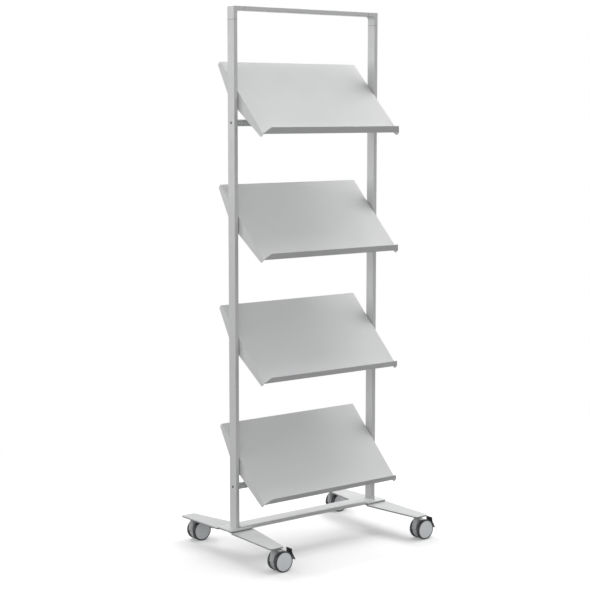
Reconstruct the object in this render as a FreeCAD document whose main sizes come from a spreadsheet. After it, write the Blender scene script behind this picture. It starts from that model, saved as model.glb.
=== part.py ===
"""Periodical display rack: a tube frame on four twin-wheel castors carrying four sloping shelves.

Millimetres, +Z up, front towards -Y, origin on the floor in the middle of the ground it covers.
Every driving size stands once in the sheet "Dims"; pieces are bound to it by expressions.
"""
import FreeCAD, Part
import Sketcher

import math
import os

DOC = FreeCAD.newDocument("periodical_display_rack")
DIMS = DOC.addObject("Spreadsheet::Sheet", "Dims")
NODES = []


# ---------------------------------------------------------------- sizes bound to the sheet

class Size:
    """A length together with the sheet expression that gives it."""

    def __init__(self, value, text):
        self.value = float(value)
        self.text = text

    def __add__(self, other):
        other = as_size(other)
        return Size(self.value + other.value, "(%s + %s)" % (self.text, other.text))

    def __sub__(self, other):
        other = as_size(other)
        return Size(self.value - other.value, "(%s - %s)" % (self.text, other.text))

    def __mul__(self, other):
        other = as_size(other)
        return Size(self.value * other.value, "%s * %s" % (self.text, other.text))

    def __truediv__(self, other):
        other = as_size(other)
        return Size(self.value / other.value, "%s / %s" % (self.text, other.text))

    def __neg__(self):
        return Size(-self.value, "(0 - %s)" % self.text)

    def __radd__(self, other):
        return as_size(other) + self

    def __rsub__(self, other):
        return as_size(other) - self

    def __rmul__(self, other):
        return as_size(other) * self


def as_size(number):
    if isinstance(number, Size):
        return number
    return Size(number, "%g" % number if number >= 0 else "(0 - %g)" % -number)


def dim(name, value, note):
    """One driving size: its own row in the sheet, used by name everywhere else."""
    row = dim.row = getattr(dim, "row", 0) + 1
    DIMS.set("A%d" % row, note)
    DIMS.set("B%d" % row, "%g" % value)
    DIMS.setAlias("B%d" % row, name)
    return Size(value, "Dims." + name)


def derive(name, size, note):
    """A size that follows from others: a formula in the sheet, used by name as well."""
    row = dim.row = dim.row + 1
    DIMS.set("A%d" % row, note)
    DIMS.set("B%d" % row, "=" + size.text.replace("Dims.", ""))
    DIMS.setAlias("B%d" % row, name)
    return Size(size.value, "Dims." + name)


def sine(angle):
    return Size(math.sin(math.radians(angle.value)), "sin(%s * 1 deg)" % angle.text)


def cosine(angle):
    return Size(math.cos(math.radians(angle.value)), "cos(%s * 1 deg)" % angle.text)


def tangent(angle):
    return Size(math.tan(math.radians(angle.value)), "tan(%s * 1 deg)" % angle.text)


def bind(thing, prop, size):
    """Tie a property to the sheet."""
    thing.setExpression(prop, as_size(size).text)


# Tube frame
frame_width = dim("frame_width", 655, "over the posts' outer faces")
head_room = dim("head_room", 437, "top of the rail above the top shelf's fold")
tube_face = dim("tube_face", 15, "frame tube, narrow side")
tube_deep = dim("tube_deep", 40, "frame tube, wide side")
tube_wall = dim("tube_wall", 1.5, "frame tube wall")
tube_corner = dim("tube_corner", 1.8, "frame tube outer corner radius")
corner_leg = dim("corner_leg", 46, "corner connector, outer leg length")
corner_inner = dim("corner_inner", 10, "corner connector, inner radius")
corner_outer = dim("corner_outer", 3, "corner connector, outer radius")
spigot_long = dim("spigot_long", 34, "connector spigot inside a tube")
seam = dim("seam", 0.5, "open joint line between a tube and a corner connector")
fit_gap = dim("fit_gap", 0.15, "slip fit between pieces pushed together")
cross_round = dim("cross_round", 24, "cross tube diameter")
cross_rise = dim("cross_rise", 35.5, "cross tube centre above the fold of its shelf")
insert_long = dim("insert_long", 24, "threaded insert in a cross tube end")
frame_screw = dim("frame_screw", 6, "screws into the cross tubes, diameter")
sink_rim = dim("sink_rim", 2.1, "countersink rim outside the screw's shank")

# Shelves
shelf_low = dim("shelf_low", 217, "height of the lowest shelf's fold")
shelf_pitch = dim("shelf_pitch", 432, "shelf spacing")
shelf_gap = dim("shelf_gap", 3, "gap between a shelf and a post, filled by the spacers")
shelf_sheet = dim("shelf_sheet", 1.5, "shelf sheet")
shelf_deep = dim("shelf_deep", 355.9, "shelf surface from the lip to the rear edge")
shelf_tilt = dim("shelf_tilt", 44.5, "shelf slope in degrees")
fold_round = dim("fold_round", 1.6, "shelf sheet outer bend radius")
lip_high = dim("lip_high", 32, "lip above the surface")
lip_inset = dim("lip_inset", 20.6, "lip shortened at the top of each end")
flange_front = dim("flange_front", 16.8, "side flange depth at the front")
flange_deep = dim("flange_deep", 54.5, "side flange depth at its apex")
flange_apex = dim("flange_apex", 214.8, "apex from the lip")
apex_round = dim("apex_round", 14, "side flange rounding at its apex")
flange_back = dim("flange_back", 15.7, "side flange and rear fold depth at the back")
fix_half = dim("fix_half", 14, "shelf screws in front of and behind the post middle")
fix_along = dim("fix_along", 192.4, "middle of the two screws from the lip, along the surface")
fix_under = dim("fix_under", 34.8, "middle of the two screws below the surface, square to it")
fix_screw = dim("fix_screw", 5, "shelf screw diameter")

# Castors
wheel_round = dim("wheel_round", 75, "wheel diameter")
wheel_wide = dim("wheel_wide", 14, "tread width of one wheel")
tread_round = dim("tread_round", 3, "tread edge rounding")
tyre_thick = dim("tyre_thick", 4.5, "tread outside the visible wheel disc")
trail = dim("trail", 27, "wheel centre beside the swivel axis")
axle_round = dim("axle_round", 8, "axle diameter")
stem_round = dim("stem_round", 10, "stem diameter")
housing_half = dim("housing_half", 11, "half the housing width")
housing_over = dim("housing_over", 7, "top of the housing above the wheels")
housing_rim = dim("housing_rim", 2.5, "housing disc inside the tread, from the floor")
tower_top = dim("tower_top", 18, "swivel tower diameter at its top")
tower_low = dim("tower_low", 31, "swivel tower diameter at its foot")
swivel_gap = dim("swivel_gap", 1.5, "from the housing to the boss above it")
lever_ahead = dim("lever_ahead", 18, "lever pivot beyond the axle")
lever_rise = dim("lever_rise", 17.5, "lever pivot above the axle")
lever_reach = dim("lever_reach", 38.5, "lever tongue beyond its pivot")
lever_pin = dim("lever_pin", 4, "lever pivot diameter")
lever_wide = dim("lever_wide", 31, "lever pedal width")
lever_sheet = dim("lever_sheet", 3.2, "lever pedal thickness")
shank_wide = dim("shank_wide", 8, "lever shank width")
running = dim("running", 0.05, "radial clearance of a running fit")
side_room = dim("side_room", 0.3, "hub beside the housing")

# Feet
plate_thick = dim("plate_thick", 5, "centre plate and arm thickness")
gasket_thick = dim("gasket_thick", 2, "gasket under a centre plate")
plate_in = dim("plate_in", 42.5, "centre plate reach inwards of a post")
plate_out = dim("plate_out", 37, "centre plate reach outwards of a post")
plate_half = dim("plate_half", 42, "half the centre plate's length, front to back")
plate_bulge = dim("plate_bulge", 5, "how far the outer edge bows out")
plate_corner = dim("plate_corner", 6, "centre plate corner radius")
arm_proud = dim("arm_proud", 1.5, "arm outer edge beyond the centre plate")
arm_shoulder = dim("arm_shoulder", 9.5, "arm shoulder beyond its tongue, each side")
arm_end = dim("arm_end", 28, "arm tip beyond the swivel axis")
arm_droop = dim("arm_droop", 1, "arm slope in degrees")
boss_high = dim("boss_high", 5.9, "boss below an arm, at the swivel axis")
boss_round = dim("boss_round", 20, "boss diameter")
tongue_end = dim("tongue_end", 10, "arm tongue end from the middle")
stem_y = dim("stem_y", 250, "swivel axis from the middle, front to back")
stem_in = dim("stem_in", 33, "swivel axis inside the arm's outer edge")
stem_edge = dim("stem_edge", 23.5, "arm's inner edge at the tip from the swivel axis")
beam_wide = dim("beam_wide", 46, "base beam width")
beam_high = dim("beam_high", 16, "base beam height")
beam_bow = dim("beam_bow", 7.5, "how far the base beam's sides bow out")
beam_wall = dim("beam_wall", 2, "base beam sheet")
beam_over = dim("beam_over", 6, "base beam top above the centre plates")
arm_bolt = dim("arm_bolt", 6, "bolts through the arms, diameter")
arm_bolt_half = dim("arm_bolt_half", 26, "arm bolts in front of and behind the post middle")
bolt_edge = dim("bolt_edge", 20, "bolts from the centre plate's inner and outer edges")
foot_bolt = dim("foot_bolt", 8, "bolts into posts and beam, diameter")
hole_room = dim("hole_room", 0.3, "radial room of a bolt in a plain hole")
block_high = dim("block_high", 30, "tapped block in a post's foot, height")

# What follows from them
post_half = derive("post_half", frame_width / 2, "posts' outer faces from the middle")
post_middle = derive("post_middle", post_half - tube_face / 2, "post axis from the middle")
inner_half = derive("inner_half", post_half - tube_face, "posts' inner faces from the middle")
shelf_wide = derive("shelf_wide", (inner_half - shelf_gap) * 2, "shelf width over the side flanges")
shelf_top = derive("shelf_top", shelf_low + shelf_pitch * 3, "fold of the top shelf")
overall_height = derive("overall_height", shelf_top + head_room, "floor to top of the rail")
cross_low = derive("cross_low", shelf_low + cross_rise, "lower cross tube centre height")
cross_high = derive("cross_high", shelf_top + cross_rise, "upper cross tube centre height")
shelf_front = derive("shelf_front", -(fix_along * cosine(shelf_tilt) + fix_under * sine(shelf_tilt)),
                     "fold from the post middle, front to back")
fix_rise = derive("fix_rise", fix_along * sine(shelf_tilt) - fix_under * cosine(shelf_tilt),
                  "shelf screws above the fold")
wheel_middle = derive("wheel_middle", wheel_round / 2, "axle height")
cap_radius = derive("cap_radius", wheel_middle - tyre_thick, "visible wheel disc radius")
wheel_in = derive("wheel_in", housing_half + side_room * 2, "tyre inner side from the castor middle")
wheel_out = derive("wheel_out", wheel_in + wheel_wide, "tyre outer side from the castor middle")
housing_top = derive("housing_top", wheel_round + housing_over, "top of the housing cap")
boss_low = derive("boss_low", housing_top + swivel_gap, "underside of the boss under an arm")
lever_x = derive("lever_x", trail + lever_ahead, "lever pivot from the swivel axis")
lever_z = derive("lever_z", wheel_middle + lever_rise, "lever pivot height")
arm_fall = derive("arm_fall", (stem_y - plate_half) * tangent(arm_droop), "arm slope down to the swivel axis")
arm_top = derive("arm_top", boss_low + boss_high + arm_fall + plate_thick, "top of an arm at its root")
foot_top = derive("foot_top", arm_top + gasket_thick + plate_thick, "top of the centre plates")
post_top = derive("post_top", overall_height - corner_leg - seam, "upper end of a post")
plate_inner = derive("plate_inner", inner_half - plate_in, "centre plate inner edge from the middle")
plate_outer = derive("plate_outer", post_half + plate_out, "centre plate outer edge from the middle")
arm_outer = derive("arm_outer", plate_outer + arm_proud, "arm outer edge from the middle")
arm_root = derive("arm_root", plate_inner - arm_proud * 2, "arm inner edge at the root")
tongue_inner = derive("tongue_inner", arm_root + arm_shoulder, "arm tongue inner edge")
tongue_outer = derive("tongue_outer", arm_outer - arm_shoulder, "arm tongue outer edge")
arm_reach = derive("arm_reach", stem_y + arm_end, "arm tip from the middle, front to back")
stem_x = derive("stem_x", arm_outer - stem_in, "swivel axis from the middle, sideways")
arm_tip = derive("arm_tip", stem_x - stem_edge, "arm inner edge at the tip")
ground_middle = derive("ground_middle", (arm_outer - stem_x - lever_x - lever_reach) / 2,
                       "frame's middle from the origin, the middle of the ground that the rack covers")
beam_bolt_x = derive("beam_bolt_x", plate_inner + bolt_edge, "beam bolt from the middle")
arm_bolt_inner = derive("arm_bolt_inner", plate_inner + bolt_edge * 1.5, "inner arm bolts from the middle")
arm_bolt_outer = derive("arm_bolt_outer", plate_outer - bolt_edge, "outer arm bolts from the middle")
thread_deep = derive("thread_deep", boss_high + plate_thick * 0.6, "stem thread in the boss and arm")
tapped = 0.05


# ---------------------------------------------------------------- modelling helpers

def vector(point):
    return FreeCAD.Vector(as_size(point[0]).value, as_size(point[1]).value, 0)


def new_body(label, place=(0, 0, 0), turn=None, angle=None):
    """A named piece with its own placement, bound to the sheet."""
    body = DOC.addObject("PartDesign::Body", label)
    body.Label = label
    body.AllowCompound = True
    if turn:
        body.Placement = FreeCAD.Placement(FreeCAD.Vector(0, 0, 0), turn)
    if angle:
        bind(body, "Placement.Rotation.Angle", angle)
    for axis, size in zip("xyz", (ground_middle + place[0], place[1], place[2])):
        bind(body, "Placement.Base." + axis, size)
    NODES.append(body)
    return body


def origin(body, role):
    return [piece for piece in body.Origin.OriginFeatures if piece.Role == role][0]


def new_sketch(body, name, role, shift=(0, 0, 0), turn=None, angle=None):
    """A sketch on one of the body's own origin planes, shifted in the plane's frame."""
    sketch = body.newObject("Sketcher::SketchObject", name)
    sketch.AttachmentSupport = [(origin(body, role), "")]
    sketch.MapMode = "FlatFace"
    if turn:
        sketch.AttachmentOffset = FreeCAD.Placement(FreeCAD.Vector(0, 0, 0), turn)
    if angle:
        bind(sketch, "AttachmentOffset.Rotation.Angle", angle)
    for axis, size in zip("xyz", shift):
        bind(sketch, "AttachmentOffset.Base." + axis, size)
    return sketch


def fix_point(sketch, edge, end, point):
    """Hold one sketch point at its two coordinates."""
    for kind, axis, size in (("DistanceX", -2, point[0]), ("DistanceY", -1, point[1])):
        size = as_size(size)
        if abs(size.value) < 1e-9:
            sketch.addConstraint(Sketcher.Constraint("PointOnObject", edge, end, axis))
            continue
        number = sketch.addConstraint(Sketcher.Constraint(kind, edge, end, size.value))
        if "Dims." in size.text:
            sketch.setExpression("Constraints[%d]" % number, size.text)


def outline(sketch, points, bows=None):
    """A closed outline; bows gives the rise of the arc that leaves the numbered point."""
    bows = bows or {}
    first = sketch.GeometryCount
    count = len(points)
    for index in range(count):
        start, end = vector(points[index]), vector(points[(index + 1) % count])
        if index in bows:
            rise = bows[index].value
            across = (end - start).normalize()
            out = FreeCAD.Vector(across.y, -across.x, 0)
            edge = Part.Arc(start, (start + end) * 0.5 + out * rise, end)
        else:
            edge = Part.LineSegment(start, end)
        sketch.addGeometry(edge, False)
    for index in range(count):
        after = (index + 1) % count
        sketch.addConstraint(Sketcher.Constraint("Coincident", first + index, 2, first + after, 1))
    for index in range(count):
        fix_point(sketch, first + index, 1, points[index])
    for index, rise in bows.items():
        span = points[(index + 1) % count][1] - points[index][1]
        radius = (span * span / 4 + rise * rise) / (rise * 2)
        number = sketch.addConstraint(Sketcher.Constraint("Radius", first + index, radius.value))
        sketch.setExpression("Constraints[%d]" % number, radius.text)


def circle(sketch, centre, radius):
    radius = as_size(radius)
    edge = sketch.addGeometry(Part.Circle(vector(centre), FreeCAD.Vector(0, 0, 1), radius.value), False)
    fix_point(sketch, edge, 3, centre)
    number = sketch.addConstraint(Sketcher.Constraint("Radius", edge, radius.value))
    if "Dims." in radius.text:
        sketch.setExpression("Constraints[%d]" % number, radius.text)


def hexagon(sketch, across):
    """A hexagon about the sketch origin, given its width across flats."""
    half = as_size(across) / 2
    side = half * 0.57735
    outline(sketch, [(half, side), (0, side * 2), (-half, side), (-half, -side), (0, -side * 2), (half, -side)])


def extruded(body, kind, sketch, length, both_ways, flip):
    feature = body.newObject("PartDesign::" + kind, sketch.Name.replace("_sketch", "") + "_" + kind.lower())
    feature.Profile = sketch
    feature.SideType = "Symmetric" if both_ways else "One side"
    feature.Reversed = flip
    bind(feature, "Length", length)
    sketch.recompute()
    feature.recompute()
    sketch.Visibility = False
    return feature


def pad(body, sketch, length, both_ways=False, flip=False):
    return extruded(body, "Pad", sketch, length, both_ways, flip)


def pocket(body, sketch, length, both_ways=False, flip=False):
    return extruded(body, "Pocket", sketch, length, both_ways, flip)


def turned(body, sketch, axis="V_Axis", cut=False):
    """A full turn of the profile about one of the sketch's axes."""
    kind = "Groove" if cut else "Revolution"
    feature = body.newObject("PartDesign::" + kind, sketch.Name.replace("_sketch", "") + "_turned")
    feature.Profile = sketch
    feature.ReferenceAxis = (sketch, [axis])
    feature.Angle = 360
    sketch.recompute()
    feature.recompute()
    return feature


def edges_where(feature, test):
    """Names of the edges whose middle point and direction pass the test."""
    names = []
    for number, edge in enumerate(feature.Shape.Edges, 1):
        middle = edge.valueAt((edge.FirstParameter + edge.LastParameter) / 2)
        along = edge.tangentAt((edge.FirstParameter + edge.LastParameter) / 2)
        if test(middle, along):
            names.append("Edge%d" % number)
    return names


def dressed(body, kind, prop, base, size, test):
    feature = body.newObject("PartDesign::" + kind, base.Name + "_" + kind.lower())
    feature.Base = (base, edges_where(base, test))
    bind(feature, prop, size)
    feature.recompute()
    return feature


def fillet(body, base, radius, test):
    return dressed(body, "Fillet", "Radius", base, radius, test)


def chamfer(body, base, size, test):
    return dressed(body, "Chamfer", "Size", base, size, test)


def repeated(body, features, steps=(), mirrors=()):
    """Features repeated along origin axes, then mirrored in origin planes."""
    pattern = body.newObject("PartDesign::MultiTransform", features[0].Name + "_repeated")
    pattern.Originals = features
    parts = []
    for axis, length, count in steps:
        row = body.newObject("PartDesign::LinearPattern", features[0].Name + "_row")
        row.Direction = (origin(body, axis), [""])
        bind(row, "Length", length)
        row.Occurrences = int(count)
        parts.append(row)
    for plane in mirrors:
        mirror = body.newObject("PartDesign::Mirrored", features[0].Name + "_mirror")
        mirror.MirrorPlane = (origin(body, plane), [""])
        parts.append(mirror)
    pattern.Transformations = parts
    body.Tip = pattern
    pattern.recompute()
    return pattern


def near(value, target, reach=0.05):
    return abs(value - as_size(target).value) < reach


HALF_TURN = FreeCAD.Rotation(FreeCAD.Vector(0, 0, 1), 180)
ALONG_X = FreeCAD.Rotation(FreeCAD.Vector(0, 1, 0), 90)


# ---------------------------------------------------------------- tube frame

def rounded_bar(body, role, name, wide, deep, corner, length, shift=(0, 0, 0), both_ways=False, flip=False):
    """A bar of rounded rectangular section standing on the given plane."""
    sketch = new_sketch(body, name + "_sketch", role, shift)
    outline(sketch, [(-wide / 2, -deep / 2), (wide / 2, -deep / 2), (wide / 2, deep / 2), (-wide / 2, deep / 2)])
    bar = pad(body, sketch, length, both_ways, flip)
    axis = {"XY_Plane": 2, "YZ_Plane": 0, "XZ_Plane": 1}[role]
    return fillet(body, bar, corner, lambda middle, along: abs(along[axis]) > 0.99)


def make_post(label, turn):
    """Upright tube: closed round corners, screw holes outside, rivet-nut holes inside."""
    side = 1 if turn is None else -1
    body = new_body(label, (post_middle * side, 0, foot_top), turn)
    tall = post_top - foot_top
    bar = rounded_bar(body, "XY_Plane", "tube", tube_face, tube_deep, tube_corner, tall)
    core = new_sketch(body, "core_sketch", "XY_Plane")
    wide, deep = tube_face - tube_wall * 2, tube_deep - tube_wall * 2
    outline(core, [(-wide / 2, -deep / 2), (wide / 2, -deep / 2), (wide / 2, deep / 2), (-wide / 2, deep / 2)])
    bar = pocket(body, core, tall * 2 + 10, both_ways=True)
    screws = new_sketch(body, "screw_hole_sketch", "YZ_Plane")
    for height in (cross_low, cross_high):
        circle(screws, (0, height - foot_top), frame_screw / 2 + 0.2)
    pocket(body, screws, tube_face * 2, both_ways=True)
    for name, height in (("low", cross_low), ("high", cross_high)):
        sink = new_sketch(body, name + "_countersink_sketch", "XZ_Plane", (0, height - foot_top, 0))
        face = tube_face / 2
        rim = frame_screw / 2 + sink_rim
        outline(sink, [(face + 0.1, 0), (face + 0.1, rim + 0.1), (face - sink_rim, rim - sink_rim),
                       (face - sink_rim, 0)])
        turned(body, sink, "H_Axis", cut=True)
    nuts = new_sketch(body, "rivet_nut_hole_sketch", "YZ_Plane", (0, 0, tube_wall / 2 - tube_face / 2))
    for level in range(4):
        height = shelf_low + shelf_pitch * level + fix_rise - foot_top
        for sign in (-1, 1):
            circle(nuts, (fix_half * sign, height), fix_screw / 2 + 1)
    pocket(body, nuts, tube_wall * 2, both_ways=True)


def make_top_rail():
    body = new_body("top_rail", (0, 0, overall_height - tube_face / 2))
    length = (post_half - corner_leg - seam) * 2
    rounded_bar(body, "YZ_Plane", "tube", tube_deep, tube_face, tube_corner, length, both_ways=True)
    core = new_sketch(body, "core_sketch", "YZ_Plane")
    wide, deep = tube_deep - tube_wall * 2, tube_face - tube_wall * 2
    outline(core, [(-wide / 2, -deep / 2), (wide / 2, -deep / 2), (wide / 2, deep / 2), (-wide / 2, deep / 2)])
    pocket(body, core, length + 10, both_ways=True)


def make_corner(label, turn):
    """Square corner piece: an L of the tube's section with a spigot into each tube."""
    body = new_body(label, (0, 0, 0), turn)
    legs = new_sketch(body, "legs_sketch", "XZ_Plane")
    inner_x, inner_z = post_half - tube_face, overall_height - tube_face
    start_x, start_z = post_half - corner_leg, overall_height - corner_leg
    outline(legs, [(start_x, overall_height), (start_x, inner_z), (inner_x, inner_z), (inner_x, start_z),
                   (post_half, start_z), (post_half, overall_height)])
    piece = pad(body, legs, tube_deep, both_ways=True)
    piece = fillet(body, piece, corner_inner, lambda middle, along: near(middle.x, inner_x) and near(
        middle.z, inner_z))
    piece = fillet(body, piece, corner_outer, lambda middle, along: near(middle.x, post_half) and near(
        middle.z, overall_height))
    edge = tube_deep / 2
    piece = fillet(body, piece, tube_corner, lambda middle, along: near(abs(middle.y), edge) and not near(
        middle.x, start_x) and not near(middle.z, start_z))
    narrow = tube_face - tube_wall * 2 - fit_gap * 2
    deep = tube_deep - tube_wall * 2 - fit_gap * 2
    down = new_sketch(body, "down_spigot_sketch", "XY_Plane", (post_middle, 0, start_z))
    outline(down, [(-narrow / 2, -deep / 2), (narrow / 2, -deep / 2), (narrow / 2, deep / 2),
                   (-narrow / 2, deep / 2)])
    pad(body, down, spigot_long, flip=True)
    level = overall_height - tube_face / 2
    across = new_sketch(body, "side_spigot_sketch", "YZ_Plane", (0, level, start_x))
    outline(across, [(-deep / 2, -narrow / 2), (deep / 2, -narrow / 2), (deep / 2, narrow / 2),
                     (-deep / 2, narrow / 2)])
    piece = pad(body, across, spigot_long, flip=True)
    low, far = start_z - spigot_long, start_x - spigot_long
    chamfer(body, piece, 1, lambda middle, along: near(middle.z, low) or near(middle.x, far))


def make_cross_tube(label, height):
    body = new_body(label, (0, 0, height))
    ring = new_sketch(body, "ring_sketch", "YZ_Plane")
    circle(ring, (0, 0), cross_round / 2)
    circle(ring, (0, 0), cross_round / 2 - tube_wall)
    pad(body, ring, inner_half * 2, both_ways=True)


def make_cross_inserts():
    """Threaded plugs pressed into the four cross tube ends."""
    body = new_body("cross_tube_inserts", (0, 0, cross_high), ALONG_X)
    half = new_sketch(body, "plug_sketch", "XZ_Plane")
    outside = cross_round / 2 - tube_wall - fit_gap
    start, end = inner_half - insert_long, inner_half - 0.3
    bore = frame_screw / 2
    outline(half, [(bore, start), (outside - 1, start), (outside, start + 1), (outside, end),
                   (bore + 0.6, end), (bore, end - 0.6)])
    plug = turned(body, half)
    repeated(body, [plug], [("X_Axis", cross_high - cross_low, 2)], ["XY_Plane"])


def socket_screw(body, name, seat, shank, length, head, tall, across, deep, shift=(0, 0)):
    """A screw along +Z with its head's bearing face at the height seat."""
    profile = new_sketch(body, name + "_sketch", "XZ_Plane", (shift[0], 0, -as_size(shift[1])))
    seat = as_size(seat)
    outline(profile, [(0, seat - tall), (head - 0.6, seat - tall), (head, seat - tall + 0.6), (head, seat),
                      (shank, seat), (shank, seat + length - 0.6), (shank - 0.6, seat + length),
                      (0, seat + length)])
    made = turned(body, profile)
    drive = new_sketch(body, name + "_drive_sketch", "XY_Plane", (shift[0], shift[1], seat - tall))
    hexagon(drive, across)
    return [made, pocket(body, drive, deep, flip=True)]


def make_cross_screws():
    """Countersunk screws through the posts into the cross tubes."""
    body = new_body("cross_tube_screws", (0, 0, cross_high), ALONG_X)
    profile = new_sketch(body, "screw_sketch", "XZ_Plane")
    face = -post_half + 0.1
    shank = frame_screw / 2 - tapped
    head, tip = frame_screw / 2 + sink_rim - 0.3, tube_face + insert_long - 5 - post_half
    outline(profile, [(0, face), (head, face), (head, face + 0.2), (shank, face + 0.2 + head - shank),
                      (shank, tip), (shank - 0.6, tip + 0.6), (0, tip + 0.6)])
    screw = turned(body, profile)
    drive = new_sketch(body, "screw_drive_sketch", "XY_Plane", (0, 0, face))
    hexagon(drive, 4)
    socket = pocket(body, drive, 2.2, flip=True)
    repeated(body, [screw, socket], [("X_Axis", cross_high - cross_low, 2)], ["XY_Plane"])


# ---------------------------------------------------------------- base

def oval(sketch, wide, high, bow):
    """A flat oval about the sketch origin: straight above and below, bowed at the sides."""
    x, z = wide / 2 - bow, high / 2
    outline(sketch, [(-x, -z), (x, -z), (x, z), (-x, z)], {1: bow, 3: bow})


def make_base_beam():
    """Flat oval tube between the feet, its lower half cut away over the centre plates."""
    body = new_body("base_beam", (0, 0, foot_top + beam_over))
    low = -beam_high
    ring = new_sketch(body, "ring_sketch", "YZ_Plane", (0, low / 2, 0))
    oval(ring, beam_wide, beam_high, beam_bow)
    oval(ring, beam_wide - beam_wall * 2, beam_high - beam_wall * 2, beam_bow - beam_wall)
    pad(body, ring, (inner_half - fit_gap) * 2, both_ways=True)
    notch = new_sketch(body, "notch_sketch", "XZ_Plane")
    for sign in (-1, 1):
        near_x, far_x = (plate_inner - 0.5) * sign, arm_outer * sign
        outline(notch, [(near_x, low - 5), (far_x, low - 5), (far_x, -beam_over), (near_x, -beam_over)])
    pocket(body, notch, beam_wide * 2, both_ways=True)
    holes = new_sketch(body, "bolt_clearance_sketch", "XY_Plane")
    for sign in (-1, 1):
        circle(holes, (beam_bolt_x * sign, 0), foot_bolt / 2 + hole_room)
    pocket(body, holes, beam_high)


def center_outline(sketch, inset):
    """Plan of a centre plate, bowed on its outer side, drawn smaller by the inset."""
    outline(sketch, [(plate_inner + inset, -plate_half + inset), (plate_outer - inset, -plate_half + inset),
                     (plate_outer - inset, plate_half - inset), (plate_inner + inset, plate_half - inset)],
            {1: plate_bulge})


def bolt_holes(sketch, room):
    """One foot's bolt holes: four for the arms, one for the beam and one for the post."""
    for x in (arm_bolt_inner, arm_bolt_outer):
        for y in (-arm_bolt_half, arm_bolt_half):
            circle(sketch, (x, y), arm_bolt / 2 + room)
    for x in (beam_bolt_x, post_middle):
        circle(sketch, (x, 0), foot_bolt / 2 + hole_room)


def make_center_plate(label, turn):
    body = new_body(label, (0, 0, foot_top - plate_thick), turn)
    plan = new_sketch(body, "plan_sketch", "XY_Plane")
    center_outline(plan, as_size(0))
    plate = pad(body, plan, plate_thick)
    plate = fillet(body, plate, plate_corner, lambda middle, along: abs(along.z) > 0.99)
    plate = chamfer(body, plate, 0.5, lambda middle, along: near(middle.z, plate_thick))
    holes = new_sketch(body, "bolt_hole_sketch", "XY_Plane")
    bolt_holes(holes, 0)
    pocket(body, holes, plate_thick * 3, both_ways=True)


def make_gaskets():
    body = new_body("plate_gaskets", (0, 0, arm_top))
    plan = new_sketch(body, "plan_sketch", "XY_Plane")
    center_outline(plan, as_size(0.8))
    bolt_holes(plan, hole_room)
    sheet = pad(body, plan, gasket_thick)
    repeated(body, [sheet], mirrors=["YZ_Plane"])


def make_arm(label, side, end):
    """Foot arm: a flat tongue under the centre plate, then a long tapered blade bent down a little."""
    body = new_body(label)
    tongue = new_sketch(body, "tongue_sketch", "XY_Plane", (0, 0, arm_top))
    root = plate_half * end
    outline(tongue, [(tongue_inner * side, tongue_end * end), (tongue_outer * side, tongue_end * end),
                     (tongue_outer * side, root), (tongue_inner * side, root)])
    pad(body, tongue, plate_thick, flip=True)
    tilt = FreeCAD.Rotation(FreeCAD.Vector(-end, 0, 0), arm_droop.value)
    blade = new_sketch(body, "blade_sketch", "XY_Plane", (0, root, arm_top), tilt, arm_droop)
    reach = (arm_reach - plate_half) * end
    outline(blade, [(arm_root * side, 0), (arm_tip * side, reach), (arm_outer * side, reach),
                    (arm_outer * side, 0)])
    plate = pad(body, blade, plate_thick, flip=True)
    tip = arm_reach.value
    plate = fillet(body, plate, 9, lambda middle, along: abs(along.z) > 0.9 and abs(abs(middle.y) - tip) < 1)
    shoulder = arm_shoulder - 1.5 if end > 0 else as_size(3)
    plate = fillet(body, plate, shoulder, lambda middle, along: abs(along.z) > 0.9 and near(
        abs(middle.x), arm_outer, 0.2) and abs(middle.y) < arm_reach.value / 2)
    boss = new_sketch(body, "boss_sketch", "XY_Plane", (stem_x * side, stem_y * end, boss_low))
    circle(boss, (0, 0), boss_round / 2)
    pad(body, boss, boss_high + plate_thick / 2)
    thread = new_sketch(body, "thread_sketch", "XY_Plane", (stem_x * side, stem_y * end, boss_low))
    circle(thread, (0, 0), stem_round / 2 + running)
    pocket(body, thread, thread_deep, flip=True)
    holes = new_sketch(body, "bolt_hole_sketch", "XY_Plane", (0, 0, arm_top))
    for x in (arm_bolt_inner, arm_bolt_outer):
        circle(holes, (x * side, arm_bolt_half * end), arm_bolt / 2 + hole_room)
    pocket(body, holes, plate_thick * 3, both_ways=True)


def make_base_bolts():
    body = new_body("base_bolts")
    shank, under = arm_bolt / 2 - tapped, arm_top - plate_thick
    grip = foot_top - under - 0.5
    small = socket_screw(body, "arm_bolt", under, shank, grip, shank + 2.5, 3.3, 4, 2.2,
                         (arm_bolt_inner, -arm_bolt_half))
    steps = [("X_Axis", arm_bolt_outer - arm_bolt_inner, 2), ("Y_Axis", arm_bolt_half * 2, 2)]
    repeated(body, small, steps, ["YZ_Plane"])
    shank = foot_bolt / 2
    for name, x, length in (("beam_bolt", beam_bolt_x, foot_top + beam_over - beam_wall - arm_top),
                            ("post_bolt", post_middle, foot_top + block_high - 7 - arm_top)):
        bolt = socket_screw(body, name, arm_top, shank, length, shank + 3, 4.4, 5, 2.8, (x, 0))
        repeated(body, bolt, mirrors=["YZ_Plane"])


def make_foot_blocks():
    """Tapped blocks welded inside the posts' lower ends."""
    body = new_body("post_foot_blocks", (0, 0, foot_top + 0.5))
    wide = tube_face - tube_wall * 2 - fit_gap * 2
    deep = tube_deep - tube_wall * 2 - fit_gap * 2
    plan = new_sketch(body, "plan_sketch", "XY_Plane", (post_middle, 0, 0))
    outline(plan, [(-wide / 2, -deep / 2), (wide / 2, -deep / 2), (wide / 2, deep / 2), (-wide / 2, deep / 2)])
    circle(plan, (0, 0), foot_bolt / 2 + tapped)
    block = pad(body, plan, block_high)
    repeated(body, [block], mirrors=["YZ_Plane"])


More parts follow.
